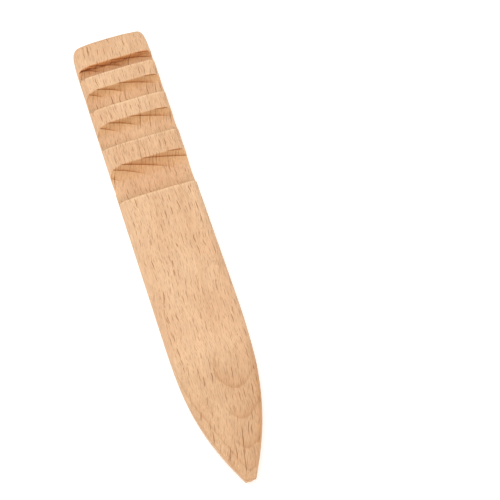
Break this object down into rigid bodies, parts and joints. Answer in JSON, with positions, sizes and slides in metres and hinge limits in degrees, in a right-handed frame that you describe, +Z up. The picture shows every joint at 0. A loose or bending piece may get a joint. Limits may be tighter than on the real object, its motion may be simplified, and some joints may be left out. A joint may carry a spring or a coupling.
{
  "type": "wood edge slicker",
  "caption": "Hand burnisher for leather edges: flat beech bar with rounded cross grooves of growing width near its square end, a plain handle and a thinned pointed creasing tip.",
  "frame": {"origin": "centre of the underside's bounding rectangle", "axes": "+Z up, out of the grooved face; +Y along the bar to the square, grooved end; -Y to the pointed tip; +X to the right"},
  "size_m": [0.0242, 0.152, 0.01],
  "materials": {
    "bare_beech": "sanded, unfinished"
  },
  "bodies": {
    "root": {"slicker_body": "bare_beech"}
  },
  "joints": []
}
